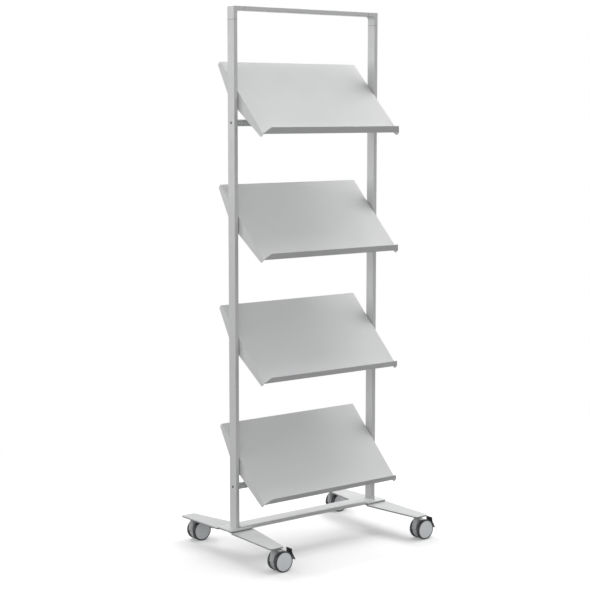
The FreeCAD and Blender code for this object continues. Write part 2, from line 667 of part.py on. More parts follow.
def make_nut_plates():
    """Tapped plates between the beam's web and the centre plates."""
    body = new_body("beam_nut_plates", (0, 0, foot_top))
    plan = new_sketch(body, "plan_sketch", "XY_Plane", (beam_bolt_x, 0, 0))
    half = beam_wide / 2 - beam_bow
    outline(plan, [(-half, -half), (half, -half), (half, half), (-half, half)])
    circle(plan, (0, 0), foot_bolt / 2 + tapped)
    plate = pad(body, plan, beam_over - beam_wall)
    repeated(body, [plate], mirrors=["YZ_Plane"])


# ---------------------------------------------------------------- shelves

def make_shelf(label, level):
    """Folded sheet: surface, raised lip with bevelled ends, rear fold and two triangular side flanges."""
    height = shelf_low + shelf_pitch * level
    tilt = FreeCAD.Rotation(FreeCAD.Vector(1, 0, 0), shelf_tilt.value)
    body = new_body(label, (0, shelf_front, height), tilt, shelf_tilt)
    sheet, deep, half = shelf_sheet, shelf_deep, shelf_wide / 2
    fold = new_sketch(body, "fold_sketch", "YZ_Plane")
    outline(fold, [(-sheet, lip_high), (-sheet, -sheet), (deep - sheet, -sheet), (deep - sheet, -flange_back),
                   (deep, -flange_back), (deep, 0), (0, 0), (0, lip_high)])
    pad(body, fold, shelf_wide, both_ways=True)
    flange = new_sketch(body, "flange_sketch", "YZ_Plane", (0, 0, half - sheet))
    outline(flange, [(-sheet, -sheet), (-sheet, -flange_front), (flange_apex, -flange_deep),
                     (deep, -flange_back), (deep, 0), (0, 0)])
    cheek = pad(body, flange, sheet)
    both = repeated(body, [cheek], mirrors=["YZ_Plane"])
    both = fillet(body, both, 8, lambda middle, along: near(middle.y, -sheet) and near(
        middle.z, -flange_front) and abs(along.x) > 0.9)
    both = fillet(body, both, apex_round, lambda middle, along: near(middle.y, flange_apex) and near(
        middle.z, -flange_deep) and abs(along.x) > 0.9)
    both = fillet(body, both, 2, lambda middle, along: near(middle.y, -sheet) and near(middle.z, -sheet))
    fillet(body, both, fold_round, lambda middle, along: near(middle.z, 0) and (near(
        abs(middle.x), half) or near(middle.y, deep)))
    bevel = new_sketch(body, "lip_bevel_sketch", "XZ_Plane")
    for sign in (-1, 1):
        outline(bevel, [(half * sign, 0.8), ((half + 5) * sign, 0.8), ((half + 5) * sign, lip_high + 5),
                        ((half - lip_inset) * sign, lip_high + 5), ((half - lip_inset) * sign, lip_high)])
    pocket(body, bevel, 20, both_ways=True)
    holes = new_sketch(body, "fixing_hole_sketch", "YZ_Plane")
    for sign in (-1, 1):
        circle(holes, fixing_point(sign), fix_screw / 2 + hole_room)
    pocket(body, holes, shelf_wide + 20, both_ways=True)


def fixing_point(sign):
    """A shelf screw's place in the shelf's own frame: along the surface, and square to it."""
    step = fix_half * sign
    return fix_along + step * cosine(shelf_tilt), -fix_under - step * sine(shelf_tilt)


def shelf_fixings(label):
    """Frame shared by the shelf fixings: local Z runs outwards along the screws."""
    return new_body(label, (0, -fix_half, shelf_top + fix_rise), ALONG_X)


def every_fixing(body, features):
    repeated(body, features, [("Y_Axis", fix_half * 2, 2), ("X_Axis", shelf_pitch * 3, 4)], ["XY_Plane"])


def make_shelf_spacers():
    body = shelf_fixings("shelf_spacers")
    ring = new_sketch(body, "ring_sketch", "XY_Plane", (0, 0, shelf_wide / 2))
    circle(ring, (0, 0), fix_screw / 2 + 3)
    circle(ring, (0, 0), fix_screw / 2 + hole_room)
    every_fixing(body, [pad(body, ring, inner_half - shelf_wide / 2)])


def make_shelf_screws():
    body = shelf_fixings("shelf_screws")
    seat = shelf_wide / 2 - shelf_sheet
    shank = fix_screw / 2 - tapped
    length = inner_half + tube_wall + 8 - seat
    every_fixing(body, socket_screw(body, "screw", seat, shank, length, shank + 2.3, 2.8, 3, 1.7))


def make_rivet_nuts():
    """Flush rivet nuts in the posts' inner walls, bulged behind the wall."""
    body = shelf_fixings("post_rivet_nuts")
    wall = inner_half + tube_wall
    profile = new_sketch(body, "nut_sketch", "XZ_Plane")
    bore = fix_screw / 2
    body_r, bulge = bore + 0.95, bore + 1.7
    outline(profile, [(bore, inner_half), (body_r, inner_half), (body_r, wall), (bulge, wall + 0.2),
                      (bulge, wall + 1.8), (body_r, wall + 2.8), (body_r, wall + 9.5), (bore, wall + 9.5)])
    every_fixing(body, [turned(body, profile)])


# ---------------------------------------------------------------- castors

def castor_body(name, label, side, end):
    return new_body(name + "_" + label, (stem_x * side, stem_y * end, 0))


def make_stem(name, side, end):
    """Fixed swivel stem: thread into the arm's boss, flange, journal with a snap collar."""
    body = castor_body(name, "caster_stem", side, end)
    radius = stem_round / 2
    seat, top = boss_low, boss_low + thread_deep - 0.3
    profile = new_sketch(body, "stem_sketch", "XZ_Plane")
    low = wheel_middle + 11.1
    outline(profile, [(0, low), (radius - 0.8, low), (radius, low + 0.8), (radius, low + 4.6),
                      (radius + 0.4, low + 5), (radius + 0.4, low + 6.4), (radius, low + 6.8),
                      (radius, seat - 1.2), (radius + 4, seat - 1.2), (radius + 4, seat),
                      (radius, seat), (radius, top - 0.8), (radius - 0.8, top), (0, top)])
    turned(body, profile)


def make_housing(name, side, end):
    """Castor body: disc between the wheels, swivel tower flared downwards, slot for the lever."""
    body = castor_body(name, "caster_housing", side, end)
    width = housing_half * 2
    disc = new_sketch(body, "disc_sketch", "XZ_Plane")
    circle(disc, (trail, wheel_middle), wheel_middle - housing_rim)
    pad(body, disc, width, both_ways=True)
    tower = new_sketch(body, "tower_sketch", "XZ_Plane")
    foot, waist, top = wheel_middle + 3.5, wheel_middle + 18, housing_top - 4
    low, high = tower_low / 2, tower_top / 2
    outline(tower, [(0, foot), (low, foot), (low - 1.5, waist), (high, top), (high, housing_top - 0.8),
                    (high - 0.8, housing_top), (0, housing_top)])
    turned(body, tower)
    flank = new_sketch(body, "flank_sketch", "YZ_Plane")
    for sign in (-1, 1):
        near_y, far_y = housing_half * sign, tower_low * sign
        outline(flank, [(near_y, foot - 1), (far_y, foot - 1), (far_y, housing_top + 1), (near_y, housing_top + 1)])
    pocket(body, flank, wheel_round * 3, both_ways=True)
    bore = new_sketch(body, "bore_sketch", "XZ_Plane")
    radius = stem_round / 2 + running
    low = wheel_middle + 10.5
    outline(bore, [(0, low), (radius, low), (radius, low + 4.8), (radius + 0.5, low + 5.2),
                   (radius + 0.5, low + 7.4), (radius, low + 7.8), (radius, housing_top + 1),
                   (0, housing_top + 1)])
    turned(body, bore, cut=True)
    cross = new_sketch(body, "axle_bore_sketch", "XZ_Plane")
    circle(cross, (trail, wheel_middle), axle_round / 2 + 0.02)
    circle(cross, (lever_x, lever_z), lever_pin / 2 + running)
    pocket(body, cross, width + 10, both_ways=True)
    slot = new_sketch(body, "lever_slot_sketch", "XZ_Plane")
    left, low = lever_x - 6.5, lever_z - 13
    right, high = trail + wheel_round / 2 + 5, housing_top + 5
    outline(slot, [(left, low), (right, low), (right, high), (left, high)])
    pocket(body, slot, shank_wide + 0.8, both_ways=True)


def make_axle(name, side, end):
    """Steel axle with a snap groove near each end."""
    body = castor_body(name, "caster_axle", side, end)
    profile = new_sketch(body, "axle_sketch", "YZ_Plane", (0, wheel_middle, trail))
    radius = axle_round / 2
    end_y, far_y, near_y = wheel_out - 6.7, wheel_out - 9.7, wheel_out - 10.9
    half = [(end_y, 0), (end_y, radius - 0.6), (end_y - 0.6, radius), (far_y, radius), (far_y, radius - 0.4),
            (near_y, radius - 0.4), (near_y, radius)]
    outline(profile, [(-across, height) for across, height in half] + half[::-1])
    turned(body, profile, "H_Axis")


def make_hub(name, which, side, end):
    """Wheel centre: closed disc outside, hollow inside, snap rib on the axle's groove."""
    body = castor_body(name, "rear_hub" if which > 0 else "front_hub", side, end)
    profile = new_sketch(body, "hub_sketch", "YZ_Plane", (0, wheel_middle, trail))
    bore = axle_round / 2 + running
    rim = cap_radius - 2
    face, seat, back = wheel_out - 0.3, wheel_out - 2.8, housing_half + side_room
    inside, snap = wheel_out - 3.8, wheel_out - 10.3
    points = [(face, 0), (face, cap_radius - 1), (face - 1, cap_radius), (seat, cap_radius), (seat, rim),
              (back + 1, rim), (back + 1, rim - 2.5), (inside, rim - 2.5), (inside, bore + 5),
              (back, bore + 5), (back, bore), (snap - 0.3, bore), (snap - 0.1, bore - 0.25),
              (snap + 0.1, bore - 0.25), (snap + 0.3, bore), (wheel_out - 6.3, bore), (wheel_out - 6.3, 0)]
    outline(profile, [(across * which, radius) for across, radius in points])
    turned(body, profile, "H_Axis")


def make_tyre(name, which, side, end):
    body = castor_body(name, "rear_tyre" if which > 0 else "front_tyre", side, end)
    profile = new_sketch(body, "tyre_sketch", "YZ_Plane", (0, wheel_middle, trail))
    rim, seat, tread = cap_radius - 2, cap_radius + running, wheel_round / 2
    step = wheel_out - 2.8 - running
    outline(profile, [(wheel_in * which, rim), (wheel_in * which, tread), (wheel_out * which, tread),
                      (wheel_out * which, seat), (step * which, seat), (step * which, rim)])
    shape = turned(body, profile, "H_Axis")
    fillet(body, shape, tread_round, lambda middle, along: abs(
        (middle.z - wheel_middle.value) ** 2 + (middle.x - trail.value) ** 2 - tread.value ** 2) < 0.1)


def make_lever(name, side, end):
    """Brake lever: shank in the housing's slot, and a wide bent pedal outside the wheels."""
    body = castor_body(name, "brake_lever", side, end)
    x, z = lever_x, lever_z
    shank = new_sketch(body, "shank_sketch", "XZ_Plane")
    under, over = x + lever_reach - 8.5, x + lever_reach - 16.5
    outline(shank, [(x - 5, z - 5), (x + 6, z - 7), (under, z - 7), (over, z + 4), (x + 5, z + 5),
                    (x - 5, z + 5)])
    piece = pad(body, shank, shank_wide, both_ways=True)
    fillet(body, piece, 4, lambda middle, along: near(middle.x, x - 5) and abs(along.y) > 0.9)
    pedal = new_sketch(body, "pedal_sketch", "XZ_Plane")
    tip, knee, crown = x + lever_reach, x + lever_reach - 13.9, x + lever_reach - 15.5
    outline(pedal, [(crown, z + 20.8), (crown - lever_sheet, z + 20.5), (knee - lever_sheet, z + 5.5),
                    (tip - lever_sheet, z - 20.6), (tip, z - 19), (knee, z + 6.4)])
    piece = pad(body, pedal, lever_wide, both_ways=True)
    piece = fillet(body, piece, 3, lambda middle, along: abs(along.y) > 0.9 and (
        near(middle.x, knee) or near(middle.x, knee - lever_sheet)))
    piece = chamfer(body, piece, 0.8, lambda middle, along: near(abs(middle.y), lever_wide / 2) and (
        middle.z > z.value + 1))
    pin = new_sketch(body, "pivot_sketch", "XZ_Plane")
    circle(pin, (x, z), lever_pin / 2)
    pad(body, pin, housing_half * 2 - 0.4, both_ways=True)


# ---------------------------------------------------------------- the whole rack

def build():
    DOC.recompute()
    for label, turn in (("right", None), ("left", HALF_TURN)):
        make_post(label + "_post", turn)
        make_corner(label + "_corner_connector", turn)
        make_center_plate(label + "_center_plate", turn)
    make_top_rail()
    make_cross_tube("upper_cross_tube", cross_high)
    make_cross_tube("lower_cross_tube", cross_low)
    make_cross_inserts()
    make_cross_screws()
    make_base_beam()
    make_gaskets()
    make_base_bolts()
    make_foot_blocks()
    make_nut_plates()
    for level, label in enumerate(("bottom_shelf", "lower_shelf", "upper_shelf", "top_shelf")):
        make_shelf(label, level)
    make_shelf_spacers()
    make_shelf_screws()
    make_rivet_nuts()
    for end, end_name in ((-1, "front"), (1, "rear")):
        for side, side_name in ((-1, "left"), (1, "right")):
            name = end_name + "_" + side_name
            make_arm(name + "_arm", side, end)
            make_stem(name, side, end)
            make_housing(name, side, end)
            make_axle(name, side, end)
            for which in (-1, 1):
                make_hub(name, which, side, end)
                make_tyre(name, which, side, end)
            make_lever(name, side, end)
    DOC.recompute()


def export():
    """Check every object, then write one STEP file per piece."""
    for thing in DOC.Objects:
        bad = [state for state in thing.State if state in ("Invalid", "Error")]
        if bad:
            raise RuntimeError("%s is not sound: %s" % (thing.Name, bad))
    os.makedirs("parts", exist_ok=True)
    for old in os.listdir("parts"):
        if old.endswith(".step"):
            os.remove(os.path.join("parts", old))
    for body in NODES:
        shape = body.Shape
        if shape.isNull() or not shape.isValid() or not shape.Solids:
            raise RuntimeError("%s has no sound shape" % body.Label)
        shape.exportStep(os.path.join("parts", body.Label + ".step"))
        box = shape.BoundBox
        print("%-30s %2d solids  x %.1f %.1f  y %.1f %.1f  z %.1f %.1f" % (
            body.Label, len(shape.Solids), box.XMin, box.XMax, box.YMin, box.YMax, box.ZMin, box.ZMax))
    print(len(NODES), "pieces")


build()
export()
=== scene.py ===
"""Looks for the periodical display rack: powder-coated steel, moulded castors and a plain studio."""
import math

import bmesh
import bpy
from bpy.props import FloatProperty, FloatVectorProperty, PointerProperty
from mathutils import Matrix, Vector


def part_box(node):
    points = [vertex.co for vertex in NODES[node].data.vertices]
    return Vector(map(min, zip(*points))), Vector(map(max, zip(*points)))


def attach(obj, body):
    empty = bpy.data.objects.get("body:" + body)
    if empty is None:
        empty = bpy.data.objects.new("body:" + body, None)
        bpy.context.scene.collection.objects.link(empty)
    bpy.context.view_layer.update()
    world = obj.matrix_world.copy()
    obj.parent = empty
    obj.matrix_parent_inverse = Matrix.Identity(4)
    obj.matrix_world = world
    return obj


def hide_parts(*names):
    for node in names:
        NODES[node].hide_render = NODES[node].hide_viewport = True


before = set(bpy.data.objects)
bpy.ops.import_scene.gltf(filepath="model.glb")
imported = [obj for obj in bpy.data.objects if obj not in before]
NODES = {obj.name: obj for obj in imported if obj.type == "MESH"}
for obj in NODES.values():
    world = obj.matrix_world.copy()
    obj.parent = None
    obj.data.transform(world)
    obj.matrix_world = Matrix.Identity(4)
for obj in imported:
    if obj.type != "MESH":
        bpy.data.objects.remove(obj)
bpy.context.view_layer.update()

bl_info = {
    "name": "Periodical Rack Looks",
    "version": (1, 0, 0),
    "blender": (4, 5, 0),
    "location": "View3D > Sidebar > Rack",
    "description": "Finishes and studio for a mobile periodical display rack",
    "category": "Object",
}

CORNERS = ("front_left", "front_right", "rear_left", "rear_right")
SHELVES = ("top_shelf", "upper_shelf", "lower_shelf", "bottom_shelf")
TUBES = ("left_post", "right_post", "top_rail", "left_corner_connector", "right_corner_connector",
         "upper_cross_tube", "lower_cross_tube")
ARMS = ("front_left_arm", "front_right_arm", "rear_left_arm", "rear_right_arm")
BASE = ("base_beam", "left_center_plate", "right_center_plate")
FIXINGS = ("cross_tube_inserts", "post_foot_blocks", "beam_nut_plates", "post_rivet_nuts", "base_bolts",
           "shelf_screws", "shelf_spacers")


# ---------------------------------------------------------------- settings

def colour(name, default, words):
    return FloatVectorProperty(name=name, description=words, subtype="COLOR", size=3, min=0, max=1,
                               default=default)


def length(name, default, words, low, high):
    return FloatProperty(name=name, description=words, default=default, min=low, max=high,
                         subtype="DISTANCE", unit="LENGTH")


def share(name, default, words):
    return FloatProperty(name=name, description=words, default=default, min=0, max=1)


def power(name, default):
    return FloatProperty(name=name, description="Power of the softbox", default=default, min=0,
                         unit="POWER")


class RackFinishSettings(bpy.types.PropertyGroup):
    """Colours of the rack's finishes, and the sizes of its base beam"""
    frame_paint: colour("Frame paint", (0.553, 0.556, 0.56), "Powder coat on posts, rail and cross tubes")
    # Painted shade: the arms' copy of the frame's powder coat is made darker
    arm_paint_shaded: colour("Arm paint", (0.462, 0.466, 0.47), "Powder coat on the arms")
    # Painted light: the base's copy of the frame's powder coat is made lighter
    base_paint_lightened: colour("Base paint", (0.57, 0.574, 0.578), "Powder coat on the base beam and centre plates")
    # Painted light: the shelves' copy of the frame's powder coat is made lighter
    shelf_paint: colour("Shelf paint", (0.612, 0.616, 0.62), "Powder coat on the shelves")
    grain_size: length("Grain size", 0.0012, "Distance between powder coat pimples", 0.0001, 0.01)
    # Painted shade: how much darker the upright edge faces of the arms are made
    edge_shade_depth: share("Edge depth", 0.42, "How much darker the cut edges of the arms are")
    beam_width: length("Beam width", 0.07, "Width of the base beam at its foot", 0.04, 0.08)
    beam_height: length("Beam height", 0.0125, "Height of the base beam", 0.01, 0.02)
    beam_lift: length("Beam lift", 0.0025, "Underside of the base beam above the plain tube's", 0, 0.004)
    beam_lean: length("Beam lean", 0.003, "How far each side of the base beam leans in", 0, 0.01)
    beam_round: length("Beam rounding", 0.006, "Rounding along the top of the base beam", 0.001, 0.012)
    zinc: colour("Zinc", (0.42, 0.43, 0.44), "Zinc-plated bolts and spacers")
    screw_black: colour("Black screws", (0.03, 0.03, 0.032), "Blackened screws in the posts' outer faces")
    disc_grey: colour("Wheel disc", (0.79, 0.815, 0.835), "Moulded grey of the wheel discs")
    housing_grey: colour("Castor housing", (0.38, 0.39, 0.4), "Moulded grey of the castor housings")
    tread_black: colour("Tread", (0.028, 0.03, 0.034), "Soft tread of the wheels")
    lever_black: colour("Brake lever", (0.016, 0.017, 0.019), "Moulded black of the brake levers")
    # Painted shadow: the gaskets are near black, standing in for the shadow gap under the centre plates
    gasket_painted_shadow: colour("Gasket", (0.02, 0.02, 0.022), "Rubber under the centre plates")


class RackStageSettings(bpy.types.PropertyGroup):
    """Powers of the softboxes, and the level of the world and the floor"""
    high_right: power("High light, right", 65)
    right: power("Light from the right", 23)
    rear_right: power("Light from the rear right", 27)
    rear: power("Light from the rear", 82)
    front_right: power("Light from the front right", 26)
    low_rear_right: power("Low light, rear right", 12)
    low_rear_left: power("Low light, rear left", 45)
    low_left: power("Low light, left", 23)
    low_front_left: power("Low light, front left", 33)
    ambient: FloatProperty(name="Ambient", description="Even light from all round", default=0.52, min=0)
    floor_grey: share("Floor", 0.82, "Brightness of the floor")
    floor_bounce: share("Floor bounce", 0.25, "Light that the floor gives back to the rack")


# Each softbox by its bearing from the rack, +X being 0 and +Y 90, and its height above the horizon
SOFTBOXES = {
    "high_right": (0, 62),
    "right": (0, 40),
    "rear_right": (45, 40),
    "rear": (90, 40),
    "front_right": (315, 40),
    "low_rear_right": (45, 15),
    "low_rear_left": (135, 15),
    "low_left": (180, 15),
    "low_front_left": (225, 15),
}
SOFTBOX_SIZE = 2.2
SOFTBOX_DISTANCE = 4.6
SOFTBOX_AIM = 0.9             # height of the point that the softboxes face

FLOOR_REACH = 30.0            # from the floor's middle to its edges
FLOOR_LIFT = 0.14             # glow that keeps the floor's shadows soft
SHADOW_NEAR = 0.9             # the floor shows its shadow up to here
SHADOW_FAR = 2.0              # and is plain white from here on

SENSOR_WIDTH = 36.0           # millimetres
FRAME_WIDTH = 590             # pixels across the picture
FOCAL_LENGTH = 1510.874       # in the same pixels
CAMERA_BESIDE = 3.40054       # from the middle of the frame, towards -X
CAMERA_BEFORE = 4.31220       # towards -Y
CAMERA_HEIGHT = 1.59100
CAMERA_DOWN = 6.960           # degrees below the horizon
CAMERA_TURN = -37.884         # degrees from looking along +Y

HALF_SEAM = 0.00025           # half the open joint between a tube and a corner connector
SEAM_DEPTH = 0.45             # how much darker that joint is
PLATE_ROOM = 0.0005           # between a centre plate and the part of the beam that stands above it
BEAM_FOOT_ROUND = 0.0012      # rounding along the underside of the base beam
BEAM_SHARP = 25               # degrees; flatter edges of the beam are shaded smooth
CUTTER_SPARE = 0.01           # cutters reach this far past the beam
CUTTER_HALF = 0.1             # half the cutters' width
SAME_HEIGHT = 0.00001         # two points nearer than this are level
LONG_EDGE = 0.01              # an edge that runs further than this along X is one of the beam's long ones

PAINT_ROUGHNESS = 0.38
SHELF_ROUGHNESS = 0.5
SHELF_SPECULAR = 0.25
PAINT_RELIEF = 0.25

# Each plain finish: its coat, the setting with its colour, grains per metre, roughness, relief, metallic
FINISHES = {
    "zinc_plate": ("plated_steel", "zinc", 1500.0, 0.32, 0.1, 0.6),
    "black_oxide": ("plated_steel", "screw_black", 1200.0, 0.4, 0.1, 0.0),
    # Gaskets: near black, as painted shadow under the centre plates
    "gasket_rubber": ("tread_rubber", "gasket_painted_shadow", 900.0, 0.7, 0.4, 0.0),
    "wheel_disc_plastic": ("moulded_plastic", "disc_grey", 1200.0, 0.42, 0.3, 0.0),
    "housing_plastic": ("moulded_plastic", "housing_grey", 1000.0, 0.4, 0.4, 0.0),
    "tread_rubber": ("tread_rubber", "tread_black", 700.0, 0.6, 0.8, 0.0),
    "lever_plastic": ("moulded_plastic", "lever_black", 900.0, 0.42, 0.5, 0.0),
}


# ---------------------------------------------------------------- material building

def link(tree, source, target):
    """Joins an output socket to an input socket."""
    tree.links.new(source, target)


def add_node(tree, kind, **values):
    """A new node with its settings."""
    node = tree.nodes.new(kind)
    for name, value in values.items():
        setattr(node, name, value)
    return node


def new_group(name, inputs, outputs):
    """An empty shader node group with named sockets."""
    group = bpy.data.node_groups.new(name, "ShaderNodeTree")
    for label, kind, default in inputs:
        group.interface.new_socket(name=label, in_out="INPUT", socket_type=kind).default_value = default
    for label, kind in outputs:
        group.interface.new_socket(name=label, in_out="OUTPUT", socket_type=kind)
    return group, add_node(group, "NodeGroupInput"), add_node(group, "NodeGroupOutput")


def noise(tree, place, scale, detail=2.0):
    """Noise over the piece; the scale is a number or a socket."""
    texture = add_node(tree, "ShaderNodeTexNoise")
    texture.inputs["Detail"].default_value = detail
    if isinstance(scale, (int, float)):
        texture.inputs["Scale"].default_value = scale
    else:
        link(tree, scale, texture.inputs["Scale"])
    link(tree, place, texture.inputs["Vector"])
    return texture.outputs["Fac"]


def spread(tree, value, low, high, new_low, new_high):
    """Maps a value from one range to another, clamped."""
    node = add_node(tree, "ShaderNodeMapRange")
    for label, number in (("From Min", low), ("From Max", high), ("To Min", new_low), ("To Max", new_high)):
        if isinstance(number, (int, float)):
            node.inputs[label].default_value = number
        else:
            link(tree, number, node.inputs[label])
    link(tree, value, node.inputs["Value"])
    return node.outputs["Result"]


def calc(tree, operation, *values):
    """One step of arithmetic; each value is a number or a socket."""
    node = add_node(tree, "ShaderNodeMath", operation=operation)
    for index, value in enumerate(values):
        if isinstance(value, (int, float)):
            node.inputs[index].default_value = value
        else:
            link(tree, value, node.inputs[index])
    return node.outputs[0]


def tint(tree, colour_in, factor):
    """A colour times a grey factor."""
    node = add_node(tree, "ShaderNodeMix", data_type="RGBA", blend_type="MULTIPLY")
    node.inputs["Factor"].default_value = 1.0
    link(tree, colour_in, node.inputs[6])
    link(tree, factor, node.inputs[7])
    return node.outputs[2]


def blended(tree, factor, first, second):
    """Two colours mixed by a mask."""
    node = add_node(tree, "ShaderNodeMix", data_type="RGBA")
    link(tree, factor, node.inputs["Factor"])
    link(tree, first, node.inputs[6])
    link(tree, second, node.inputs[7])
    return node.outputs[2]


def bumped(tree, height, strength, distance):
    """The normal of a surface with this relief."""
    node = add_node(tree, "ShaderNodeBump")
    node.inputs["Distance"].default_value = distance
    link(tree, strength, node.inputs["Strength"])
    link(tree, height, node.inputs["Height"])
    return node.outputs["Normal"]


COAT_INPUTS = (("Colour", "NodeSocketColor", (0.5, 0.5, 0.5, 1)), ("Grain", "NodeSocketFloat", 800.0),
               ("Sheen", "NodeSocketFloat", 0.4), ("Relief", "NodeSocketFloat", 0.05))
COAT_OUTPUTS = (("Colour", "NodeSocketColor"), ("Roughness", "NodeSocketFloat"),
                ("Normal", "NodeSocketVector"))


def make_powder_coat():
    """Powder coat: orange peel over fine pimples, a faint drift of tone, sheen changed by handling."""
    group, given, result = new_group("powder_coat", COAT_INPUTS, COAT_OUTPUTS)
    place = add_node(group, "ShaderNodeTexCoord").outputs["Object"]
    drift = noise(group, place, 3.0, detail=3.0)
    pimples = noise(group, place, given.outputs["Grain"])
    peel = noise(group, place, calc(group, "MULTIPLY", given.outputs["Grain"], 0.28), detail=1.0)
    flecks = calc(group, "MULTIPLY_ADD", spread(group, pimples, 0.55, 0.75, 0.0, 1.0), -0.035,
                  spread(group, drift, 0.0, 1.0, 0.985, 1.02))
    link(group, tint(group, given.outputs["Colour"], flecks), result.inputs["Colour"])
    handled = noise(group, place, 14.0, detail=4.0)
    sheen = calc(group, "ADD", spread(group, handled, 0.35, 0.65, -0.04, 0.06), given.outputs["Sheen"])
    link(group, sheen, result.inputs["Roughness"])
    height = calc(group, "MULTIPLY_ADD", peel, 2.0, pimples)
    link(group, bumped(group, height, given.outputs["Relief"], distance=0.00004), result.inputs["Normal"])
    return group


def make_moulded():
    """Moulded plastic: fine spark-eroded texture, faint flow marks and a little dust."""
    group, given, result = new_group("moulded_plastic", COAT_INPUTS, COAT_OUTPUTS)
    place = add_node(group, "ShaderNodeTexCoord").outputs["Object"]
    flow = noise(group, place, 38.0, detail=3.0)
    grain = noise(group, place, given.outputs["Grain"], detail=3.0)
    specks = noise(group, place, 160.0, detail=5.0)
    dust = calc(group, "MULTIPLY", spread(group, specks, 0.56, 0.72, 0.0, 0.1),
                spread(group, flow, 0.4, 0.6, 0.2, 1.0))
    dusty = add_node(group, "ShaderNodeRGB")
    dusty.outputs[0].default_value = (0.42, 0.41, 0.39, 1)
    shade = tint(group, given.outputs["Colour"], spread(group, flow, 0.3, 0.7, 0.96, 1.03))
    link(group, blended(group, dust, shade, dusty.outputs[0]), result.inputs["Colour"])
    sheen = calc(group, "ADD", given.outputs["Sheen"],
                 calc(group, "ADD", spread(group, flow, 0.3, 0.7, -0.04, 0.05), dust))
    link(group, sheen, result.inputs["Roughness"])
    link(group, bumped(group, grain, given.outputs["Relief"], distance=0.00005), result.inputs["Normal"])
    return group


def make_tread_rubber():
    """Soft tread: floor dust pressed into a fine matt grain, with scuffs along the rim."""
    group, given, result = new_group("tread_rubber", COAT_INPUTS, COAT_OUTPUTS)
    place = add_node(group, "ShaderNodeTexCoord").outputs["Object"]
    patches = noise(group, place, 70.0, detail=4.0)
    grain = noise(group, place, given.outputs["Grain"], detail=3.0)
    worn = calc(group, "MULTIPLY", spread(group, patches, 0.48, 0.68, 0.0, 0.16),
                spread(group, grain, 0.35, 0.6, 0.4, 1.0))
    dusty = add_node(group, "ShaderNodeRGB")
    dusty.outputs[0].default_value = (0.2, 0.195, 0.185, 1)
    link(group, blended(group, worn, given.outputs["Colour"], dusty.outputs[0]), result.inputs["Colour"])
    link(group, calc(group, "ADD", given.outputs["Sheen"], worn), result.inputs["Roughness"])
    height = calc(group, "MULTIPLY_ADD", patches, 0.6, grain)
    link(group, bumped(group, height, given.outputs["Relief"], distance=0.00006), result.inputs["Normal"])
    return group


def make_plated():
    """Zinc plate: small crystals of slightly different brightness, and hazy patches."""
    group, given, result = new_group("plated_steel", COAT_INPUTS, COAT_OUTPUTS)
    place = add_node(group, "ShaderNodeTexCoord").outputs["Object"]
    crystals = add_node(group, "ShaderNodeTexVoronoi")
    link(group, given.outputs["Grain"], crystals.inputs["Scale"])
    link(group, place, crystals.inputs["Vector"])
    haze = noise(group, place, 220.0, detail=4.0)
    bright = calc(group, "MULTIPLY", spread(group, crystals.outputs["Distance"], 0.0, 0.8, 1.04, 0.94),
                  spread(group, haze, 0.35, 0.65, 0.93, 1.05))
    link(group, tint(group, given.outputs["Colour"], bright), result.inputs["Colour"])
    link(group, calc(group, "ADD", given.outputs["Sheen"], spread(group, haze, 0.35, 0.65, -0.05, 0.1)),
         result.inputs["Roughness"])
    link(group, bumped(group, crystals.outputs["Distance"], given.outputs["Relief"], distance=0.00003),
         result.inputs["Normal"])
    return group


def make_painted_edge_shade():
    """Painted shade: a mask that darkens the upright faces of a flat plate, its edges."""
    group, given, result = new_group("cut_edge", (("Depth", "NodeSocketFloat", 0.3),),
                                     (("Shade", "NodeSocketFloat"),))
    place = add_node(group, "ShaderNodeTexCoord")
    parts = add_node(group, "ShaderNodeSeparateXYZ")
    link(group, place.outputs["Normal"], parts.inputs[0])
    level = calc(group, "ABSOLUTE", parts.outputs["Z"])
    ragged = calc(group, "MULTIPLY_ADD", noise(group, place.outputs["Object"], 300.0), 0.2, level)
    edge = spread(group, ragged, 0.45, 0.85, 1.0, 0.0)
    link(group, calc(group, "SUBTRACT", 1.0, calc(group, "MULTIPLY", edge, given.outputs["Depth"])),
         result.inputs["Shade"])
    return group


def make_joint_line():
    """Shade of a narrow line at one distance along an axis: dust in the open joint of two tubes."""
    inputs = (("Along", "NodeSocketFloat", 0.0), ("Place", "NodeSocketFloat", 0.0),
              ("Depth", "NodeSocketFloat", 0.3))
    group, given, result = new_group("joint_line", inputs, (("Shade", "NodeSocketFloat"),))
    away = calc(group, "ABSOLUTE", calc(group, "SUBTRACT", given.outputs["Along"], given.outputs["Place"]))
    place = add_node(group, "ShaderNodeTexCoord").outputs["Object"]
    ragged = calc(group, "MULTIPLY_ADD", noise(group, place, 120.0), -0.0005, away)
    line = spread(group, ragged, 0.0004, 0.0009, 1.0, 0.0)
    link(group, calc(group, "SUBTRACT", 1.0, calc(group, "MULTIPLY", line, given.outputs["Depth"])),
         result.inputs["Shade"])
    return group


GROUP_MAKERS = {"powder_coat": make_powder_coat, "moulded_plastic": make_moulded,
                "tread_rubber": make_tread_rubber, "plated_steel": make_plated,
                "cut_edge": make_painted_edge_shade, "joint_line": make_joint_line}


def group_named(name):
    """The shader group of this name, built at its first use."""
    return bpy.data.node_groups.get(name) or GROUP_MAKERS[name]()


